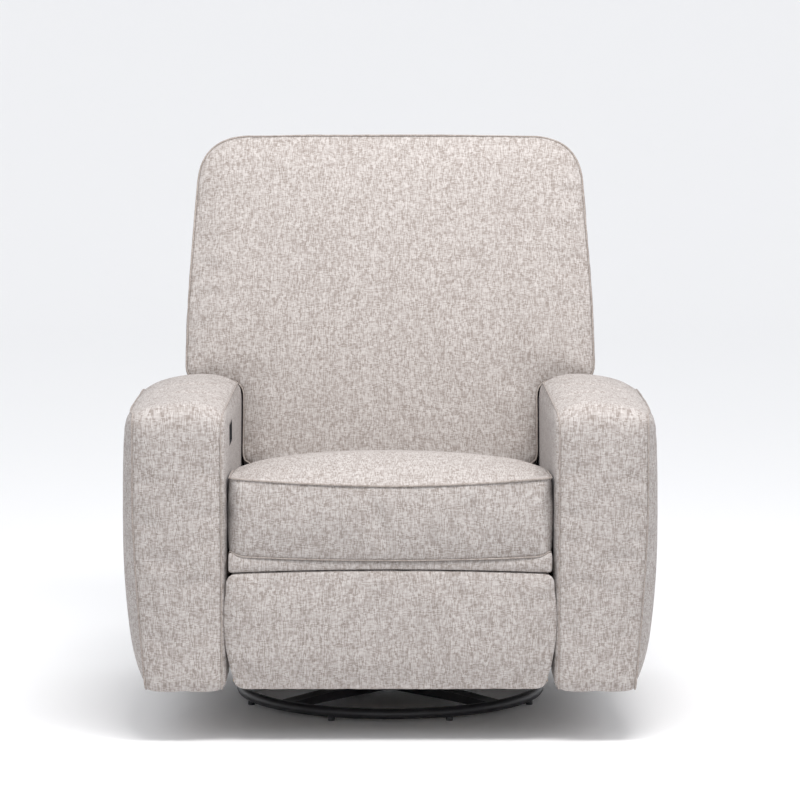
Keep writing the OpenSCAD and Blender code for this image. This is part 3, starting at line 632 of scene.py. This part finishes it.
def make_arm(name, side):
    """One arm: a strip over the front and the top, an outer panel and an inner panel."""
    base = arm_loop()
    n = outward(base)
    up = np.clip(n[:, 1], 0, 1)
    front = np.clip(-n[:, 0], 0, 1)
    height = base[:, 1]
    flare = 1 - np.exp(-np.clip(base[:, 0] + 0.43, 0, 1) / 0.14)
    seam_out = front_edge(height) + 0.021 * up * flare
    seam_in = 0.2855 - 0.003 * up
    top_edge = np.clip((height - 0.45) / 0.08, 0, 1)

    def strip(t):
        """Outline and x of the strip at t, from the outer seam at 0 to the inner seam at 1."""
        x = seam_out + (seam_in - seam_out) * t
        gap = np.minimum(t, 1 - t) * (seam_out - seam_in)
        drop = dome(x) * up + 0.0042 * np.exp(-gap / 0.0055) * (1 - 0.6 * up)
        swell = 0.0035 * np.sin(math.pi * t) * front
        side_fall = 0.0036 * np.clip((x - 0.40) / 0.04, 0, 1) ** 2 * front * top_edge
        return base + n * (swell - drop - side_fall)[:, None], x

    def place(y, z, x):
        """From the arm's side view, and x for the left arm, to the row frame."""
        return np.stack([side * x, y, z], 1)

    def outer_depth(y, z, gap, index):
        """The outer panel's x, bulging from its seam."""
        start = seam_out[index]
        full = side_reach(z) + 0.0015 * np.sin(9 * y + 4 * z)
        target = full - (full - front_edge(z)) * np.exp(-(y - ARM_FRONT) / 0.036)
        return start + (target - start) * rise(gap, 0.022 - 0.014 * up[index])

    def inner_depth(y, z, gap, index):
        """The inner panel's x, flat beside the seat."""
        start = seam_in[index]
        return start + (ARM_IN + 0.0012 - start) * rise(gap, 0.0052)

    outer_loop, _ = strip(0.0)
    inner_loop, _ = strip(1.0)
    pad = Pad(name, outer_loop, 0.011, 16)
    pad.cap(outer_depth, place, flip=side < 0)
    pad.band(strip, place, flip=side < 0, lengthwise=True)
    pad.cap(inner_depth, place, flip=side > 0, loop=inner_loop)
    arm = pad.build()
    stuff(arm, limit=0.004, pressure=3.0)
    keep_clear(arm, side)
    refine(arm)
    cut(arm, *FRAME_SPACE, side)
    if side < 0:
        cut(arm, *CUP_SPACE, side)
    seams = []
    ends = (("outer", outer_loop, seam_out, 0.75), ("inner", inner_loop, seam_in, -0.75))
    for label, loop, seam, tilt in ends:
        shown = (loop[:, 1] > ARM_LOW + 0.004) | (loop[:, 0] < ARM_FRONT + 0.02)
        path = place(loop[:, 0], loop[:, 1], seam)
        normal = unit(np.stack([np.full(len(loop), side * tilt), n[:, 0], n[:, 1]], 1))
        seams.append((label, path, normal, shown))
    return arm, seams


def keep_clear(arm, side):
    """Keeps the inner panel off the seat's side of the arm's inner plane."""
    co = coords(arm.data)
    x = co[:, 0] * side
    co[:, 0] = side * np.maximum(x, ARM_IN + 0.0006)
    set_coords(arm.data, co)


def cut(obj, low, high, side):
    """Cuts a box out of a pad, given on the left arm and mirrored for the right one."""
    xs, ys, zs = zip(low, high)
    corners = [(side * x, y, z) for x in xs for y in ys for z in zs]
    faces = [(0, 1, 3, 2), (4, 6, 7, 5), (0, 4, 5, 1), (2, 3, 7, 6), (0, 2, 6, 4), (1, 5, 7, 3)]
    mesh = bpy.data.meshes.new("cutter")
    mesh.from_pydata(corners, [], [f if side > 0 else f[::-1] for f in faces])
    cutter = bpy.data.objects.new("cutter", mesh)
    bpy.context.scene.collection.objects.link(cutter)
    boolean = obj.modifiers.new("cut", "BOOLEAN")
    boolean.object = cutter
    boolean.operation = "DIFFERENCE"
    boolean.solver = "EXACT"
    graph = bpy.context.evaluated_depsgraph_get()
    mesh = bpy.data.meshes.new_from_object(obj.evaluated_get(graph))
    obj.modifiers.remove(boolean)
    obj.data = mesh
    bpy.data.objects.remove(cutter)


for label, side in (("left", 1), ("right", -1)):
    arm, seams = make_arm("arm_pad_" + label, side)
    upholster(arm, "chair", "arm_cover_" + label)
    for which, path, normal, shown in seams:
        start = int(np.argmax(~shown)) if (~shown).any() else 0
        order = [i % len(path) for i in range(start, start + len(path)) if shown[i % len(path)]]
        seam_name = f"arm_seam_{which}_{label}"
        welt(seam_name, path[order], normal[order], 0.0030, 0.0026, "chair", SHADED_SEAM, closed=False)


# ---- Seat ----


def seat_shift(y, z):
    """The cushion's rear leans with the back."""
    share = np.clip((y + 0.20) / 0.30, 0, 1)
    return y - share * (0.437 - z) * math.tan(RAKE)


def lift(x):
    """How far the front seam rises from its middle towards the corners."""
    return 0.0125 * (np.abs(x) / 0.265) ** 1.7


def low_edge(x):
    """Height of the cushion's lower front seam, with its corner tabs."""
    tab = np.clip((np.abs(x) - 0.245) / 0.025, 0, 1)
    return SEAT_LOW_SEAM + 0.006 * (np.abs(x) / 0.25) ** 2 + 0.008 * tab**2


seat_loop = resample(rounded_box(-SEAT_HALF, SEAT_HALF, SEAT_FRONT, SEAT_REAR, 0.016, 0.012), 0.008)
seat_out = outward(seat_loop)


def bow(x):
    """How far the cushion's front stands out in the middle."""
    return 0.004 * (1 - (np.abs(x) / 0.272) ** 2)


def seat_place(x, y, z):
    """From the cushion's plan to the row frame."""
    return np.stack([x, seat_shift(y, z) - bow(x) * np.clip(-y / 0.44, 0, 1) ** 4, z], 1)


def arch(r, power):
    """A crown's height across its span, 1 in the middle and 0 at r = 1."""
    return (1 - np.clip(r, 0, 1) ** power) ** 0.6


def seat_top(x, y, gap, index):
    """Height of the cushion's top panel, crowned between its seams."""
    front = np.clip(-(y + 0.15) / 0.2965, 0, 1)
    seam = SEAT_TOP_SEAM + lift(x) * front - SEAT_FALL * np.clip(y + 0.28, 0, 1)
    ahead = arch((CREST_Y - y) / (CREST_Y - SEAT_FRONT), 2.2)
    behind = arch((y - CREST_Y) / (SEAT_REAR - CREST_Y), 4.0)
    fullness = CREST + 0.0085 * np.clip((y + 0.40) / 0.35, 0, 1)
    crown = fullness * arch(np.abs(x) / SEAT_HALF, 2.0) * ahead * behind
    soft = 0.0012 * np.sin(11 * x + 1) * np.sin(13 * y)
    return seam + np.where(gap > 0, crown + soft * rise(gap, 0.03), 0)


def seat_low(x, y, gap, index):
    """Height of the cushion's underside, which drops to the lower seam in front."""
    lip = np.clip(-(y + 0.425) / 0.015, 0, 1)
    return SEAT_BOTTOM + (low_edge(x) - SEAT_BOTTOM) * lip


def seat_section(t):
    """The cushion's side strip, from the top seam at 0 to the lower seam at 1."""
    z0, z1 = (f(seat_loop[:, 0], seat_loop[:, 1], np.zeros(1), None) for f in (seat_top, seat_low))
    front = np.clip(-seat_out[:, 1], 0, 1)
    bend = np.abs(seat_out[:, 0] * seat_out[:, 1])
    bulge = (0.0015 + 0.0045 * front**4 - 0.010 * bend) * (math.sin(math.pi * t) ** 0.6)
    return seat_loop + seat_out * bulge[:, None], z0 + (z1 - z0) * t


pad = Pad("seat_pad", seat_loop, 0.011, 12)
pad.cap(seat_top, seat_place)
pad.band(seat_section, seat_place)
pad.cap(seat_low, seat_place, flip=True, fixed=True)
seat = pad.build()
stuff(seat, limit=0.005, pressure=3.5)
refine(seat)
upholster(seat, "chair", "seat_cushion")
for which, f, tilt, size in (("top", seat_top, 0.9, 0.0036), ("low", seat_low, -0.5, 0.0026)):
    z = f(seat_loop[:, 0], seat_loop[:, 1], np.zeros(1), None)
    path = seat_place(seat_loop[:, 0], seat_loop[:, 1], z)
    normal = unit(np.stack([seat_out[:, 0], seat_out[:, 1], np.full(len(path), tilt)], 1))
    welt(f"seat_welt_{which}", path, normal, size, size, "chair", SHADED_SEAM)


# ---- Front rail ----


def sill(x):
    """Height of the line where the front rail meets the footrest, bowed up in the middle."""
    return SILL_Z + 0.0055 * (1 - (np.abs(x) / 0.27) ** 2)


def standing(x, z, y):
    """From a front view of an upright panel to the row frame."""
    return np.stack([x, y, z], 1)


across = np.linspace(-0.2735, 0.2735, 30)
rail_low = [(x, sill(x) + 0.0015) for x in across]
rail_high = [(x, low_edge(x) - 0.0012) for x in across[::-1]]
rail_loop = resample([*rail_low, *rail_high], 0.008)
pad = Pad("front_rail_pad", rail_loop, 0.009, 3)
pad.cap(swollen(RAIL_FRONT, -0.0035, 0.006), standing)
pad.band(straight(rail_loop, RAIL_FRONT, RAIL_REAR), standing)
pad.cap(level(RAIL_REAR), standing, flip=True, fixed=True)
rail = pad.build()
refine(rail)
upholster(rail, "chair", "front_rail_cover")


# ---- Footrest ----

top_x = np.linspace(0.262, -0.262, 26)
foot_loop = resample(
    [
        *corner((-0.2670, 0.1120), (-0.2665, FOOT_LOW), (-0.2470, FOOT_LOW)),
        *corner((0.2470, FOOT_LOW), (0.2665, FOOT_LOW), (0.2670, 0.1120)),
        *corner((0.2670, 0.1120), (0.2905, 0.1850), (0.2790, 0.2600), 12),
        *corner((0.2785, 0.2740), (0.2775, 0.2885), (0.2640, sill(0.264) - 0.0012)),
        *[(x, sill(x) - 0.0012) for x in top_x],
        *corner((-0.2640, sill(0.264) - 0.0012), (-0.2775, 0.2885), (-0.2785, 0.2740)),
        *corner((-0.2790, 0.2600), (-0.2905, 0.1850), (-0.2670, 0.1120), 12),
    ],
    0.008,
)
foot_out = outward(foot_loop)


def foot_front(x, z, gap, index):
    """The front panel's y, tucked back towards its foot."""
    tuck = 0.010 * np.clip((0.150 - z) / 0.057, 0, 1) ** 1.5
    return FOOT_SEAM - 0.0085 * rise(gap, 0.011) + tuck * rise(gap, 0.01)


def foot_section(t):
    """The side strip, from the front seam at 0, drawn in behind it."""
    narrow = 0.0075 * np.abs(foot_out[:, 0]) * (1 - math.exp(-t / 0.10))
    bulge = 0.0020 * math.sin(math.pi * t) ** 0.7 - narrow
    depth = FOOT_SEAM + (FOOT_REAR - FOOT_SEAM) * t
    return foot_loop + foot_out * bulge[:, None], np.full(len(foot_loop), depth)


pad = Pad("footrest_cover", foot_loop, 0.010, 5)
pad.cap(foot_front, standing)
pad.band(foot_section, standing)
pad.cap(level(FOOT_REAR), standing, flip=True, fixed=True, loop=foot_section(1.0)[0])
foot = pad.build()
stuff(foot, limit=0.005, pressure=3.5)
refine(foot)
upholster(foot, "panel", "footrest_pad")


# ---- Back ----


def back_place(x, up, depth):
    """From the back's own frame to the row frame."""
    up, depth = np.asarray(up, float), np.asarray(depth, float)
    y = BACK_ORIGIN[1] + depth * math.cos(RAKE) + up * math.sin(RAKE)
    z = BACK_ORIGIN[2] + up * math.cos(RAKE) - depth * math.sin(RAKE)
    return np.stack([x + 0 * up, y + 0 * x, z + 0 * x], 1)


def back_normals(out, tilt):
    """Normals along an outline of the back that lean by tilt towards its rear."""
    c, s = math.cos(RAKE), math.sin(RAKE)
    return unit(np.stack([out[:, 0], out[:, 1] * s + tilt * c, out[:, 1] * c - tilt * s], 1))


def back_outline(inset, notch, ledge):
    """The T-shaped outline in the back's frame; notch is the height of the ears' lower edge.

    Below ledge it narrows to a neck that passes between the mechanism's side plates."""
    w = 0.379 - inset
    stem = 0.2715 - inset
    right = [
        *corner((NECK - 0.012, -0.128), (NECK, -0.128), (NECK, -0.114)),
        *corner((NECK, ledge - 0.017), (NECK, ledge - 0.002), (NECK + 0.006, ledge - 0.001)),
        *corner((NECK + 0.008, ledge - 0.001), (stem, ledge), (stem, ledge + 0.021)),
        *corner((stem, notch - 0.034), (stem + 0.002, notch - 0.012), (stem + 0.020, notch - 0.007)),
        *corner((stem + 0.030, notch - 0.004), (0.335, notch + 0.003), (w - 0.018, notch)),
        *corner((w - 0.018, notch), (w, notch), (w, notch + 0.022)),
        (w - 0.003, 0.258),
        (w - 0.009, 0.354),
        (w - 0.015, 0.440),
        *corner((w - 0.0175, 0.478 - inset), (w - 0.020, 0.577 - inset), (0.258 - inset, 0.5755 - inset), 18),
        (0.15, 0.577 - inset),
    ]
    return [*right, *[(-x, y) for x, y in right[::-1]]]


front_loop = resample(back_outline(0.0, EAR_UP, -0.045), 0.0085)
back_out = outward(front_loop)


def back_front(x, up, gap, index):
    """Depth of the front panel, crowned forwards from its seam."""
    swell = 0.011 * rise(gap, 0.012) + 0.006 * rise(gap, 0.09)
    soft = 0.0015 * np.sin(8 * x + 0.6) * np.sin(9 * up)
    return BACK_SEAM - swell - soft * rise(gap, 0.05)


def back_section(t):
    """The side strip, from the front seam at 0 to the rear at 1."""
    bulge = 0.003 * math.sin(math.pi * t) ** 0.7
    return front_loop + back_out * bulge, np.full(len(front_loop), BACK_SEAM + (BACK_DEPTH - 0.0125) * t)


pad = Pad("back_pad", front_loop, 0.012, 9)
pad.cap(back_front, back_place)
pad.band(back_section, back_place)
pad.cap(level(BACK_DEPTH - 0.0005), back_place, flip=True, fixed=True)
back = pad.build()
stuff(back, limit=0.005, pressure=3.0)
refine(back)
upholster(back, "back", "back_cushion")
path = back_place(front_loop[:, 0], front_loop[:, 1], np.full(len(front_loop), BACK_SEAM))
welt("back_welt", path, back_normals(back_out, -0.6), 0.0034, 0.0032, "back", SHADED_SEAM)


# ---- Outside back ----

shell_loop = resample(back_outline(-0.0022, EAR_UP + 0.005, -0.060), 0.0095)
shell_out = outward(shell_loop)
inner_loop = shell_loop - shell_out * 0.0095


def shell_outer(t):
    """The outer side strip, from the rim at 0 to the rear seam at 1."""
    depth = BACK_DEPTH + (SHELL_SEAM - BACK_DEPTH) * t
    return shell_loop + shell_out * 0.001 * math.sin(math.pi * t), np.full(len(shell_loop), depth)


def shell_rim(t):
    """The front edge, from the outer outline at 0 to the inner one at 1."""
    return shell_loop + (inner_loop - shell_loop) * t, np.full(len(inner_loop), BACK_DEPTH)


pad = Pad("outside_back_pad", shell_loop, 0.013, 5)
pad.band(shell_outer, back_place)
pad.cap(swollen(SHELL_SEAM, 0.0055, 0.012), back_place, flip=True)
pad.band(straight(inner_loop, BACK_DEPTH, SHELL_INNER), back_place, flip=True, fixed=True)
pad.cap(level(SHELL_INNER), back_place, loop=inner_loop, fixed=True)
pad.band(shell_rim, back_place, flip=True, fixed=True)
shell = pad.build()
refine(shell)
upholster(shell, "back", "outside_back")
path = back_place(shell_loop[:, 0], shell_loop[:, 1], np.full(len(shell_loop), SHELL_SEAM))
welt("outside_back_welt", path, back_normals(shell_out, 0.6), 0.0034, 0.0030, "back", SHADED_SEAM)


# ---- Rear panel ----

rear_loop = resample(rounded_box(-0.2750, 0.2750, 0.0955, 0.2675, 0.006), 0.009)
pad = Pad("rear_panel_pad", rear_loop, 0.012, 2)
pad.cap(swollen(PANEL_REAR, 0.0035, 0.010), standing, flip=True)
pad.band(straight(rear_loop, PANEL_REAR, PANEL_FRONT), standing, flip=True)
pad.cap(level(PANEL_FRONT), standing, fixed=True)
rear = pad.build()
refine(rear)
upholster(rear, "chair", "rear_panel")


# ---- Floor, light and camera ----


def add_area(name, place, aim, size, power, colour):
    """A rectangular lamp at place that faces aim."""
    data = bpy.data.lights.new(name, "AREA")
    data.shape = "RECTANGLE"
    data.size, data.size_y = size
    data.energy = power
    data.color = colour
    lamp = bpy.data.objects.new(name, data)
    lamp.location = place
    lamp.rotation_euler = (Vector(aim) - Vector(place)).to_track_quat("-Z", "Y").to_euler()
    bpy.context.scene.collection.objects.link(lamp)


def make_floor(turns=96, flat=8, rim=3):
    """A round floor, level as far out as flat, whose rim curves up so that no horizon line shows."""
    bend = np.linspace(0, math.pi / 2, 14)[1:]
    reach = [1, 3, flat, *(flat + rim * math.sin(a) for a in bend)]
    height = [0, 0, 0, *(rim - rim * math.cos(a) for a in bend)]
    spokes = np.arange(turns) * 2 * math.pi / turns
    verts = [(0, 0, FLOOR_Z)]
    for r, z in zip(reach, height):
        verts += [(r * math.cos(a), r * math.sin(a), z + FLOOR_Z) for a in spokes]
    faces = [(0, 1 + k, 1 + (k + 1) % turns) for k in range(turns)]
    for ring in range(len(reach) - 1):
        lo = 1 + ring * turns
        for k in range(turns):
            k2 = (k + 1) % turns
            faces.append((lo + k, lo + turns + k, lo + turns + k2, lo + k2))
    mesh = bpy.data.meshes.new("floor")
    mesh.from_pydata(verts, [], faces)
    mesh.polygons.foreach_set("use_smooth", [True] * len(mesh.polygons))
    return bpy.data.objects.new("floor", mesh)


floor = make_floor()
bpy.context.scene.collection.objects.link(floor)
paint = Nodes("floor_paint")
paint.set(Base_Color=FLOOR_TONE, Roughness=0.8)
floor.data.materials.append(paint.mat)

world = bpy.data.worlds.new("studio")
world.use_nodes = True
world.node_tree.nodes["Background"].inputs["Color"].default_value = (0.97, 0.98, 1.0, 1)
world.node_tree.nodes["Background"].inputs["Strength"].default_value = 1.0
bpy.context.scene.world = world
bpy.context.scene.view_settings.view_transform = "Standard"
add_area("overhead", (0, -0.6, 3.4), (0, 0, 0.4), (3.2, 3.0), 8, (0.94, 0.97, 1.0))
add_area("key", (0.25, -1.15, 2.3), (0, 0.25, 0.85), (1.5, 0.6), 48, (1.0, 0.98, 0.965))

camera_data = bpy.data.cameras.new("camera")
camera_data.lens = CAMERA_LENS
camera_data.sensor_width = CAMERA_SENSOR
camera_data.clip_end = 100
camera = bpy.data.objects.new("camera", camera_data)
camera.location = (0, -CAMERA_AWAY, CAMERA_UP)
camera.rotation_euler = (math.pi / 2 - CAMERA_TILT, 0, CAMERA_TURN)
bpy.context.scene.collection.objects.link(camera)
bpy.context.scene.camera = camera
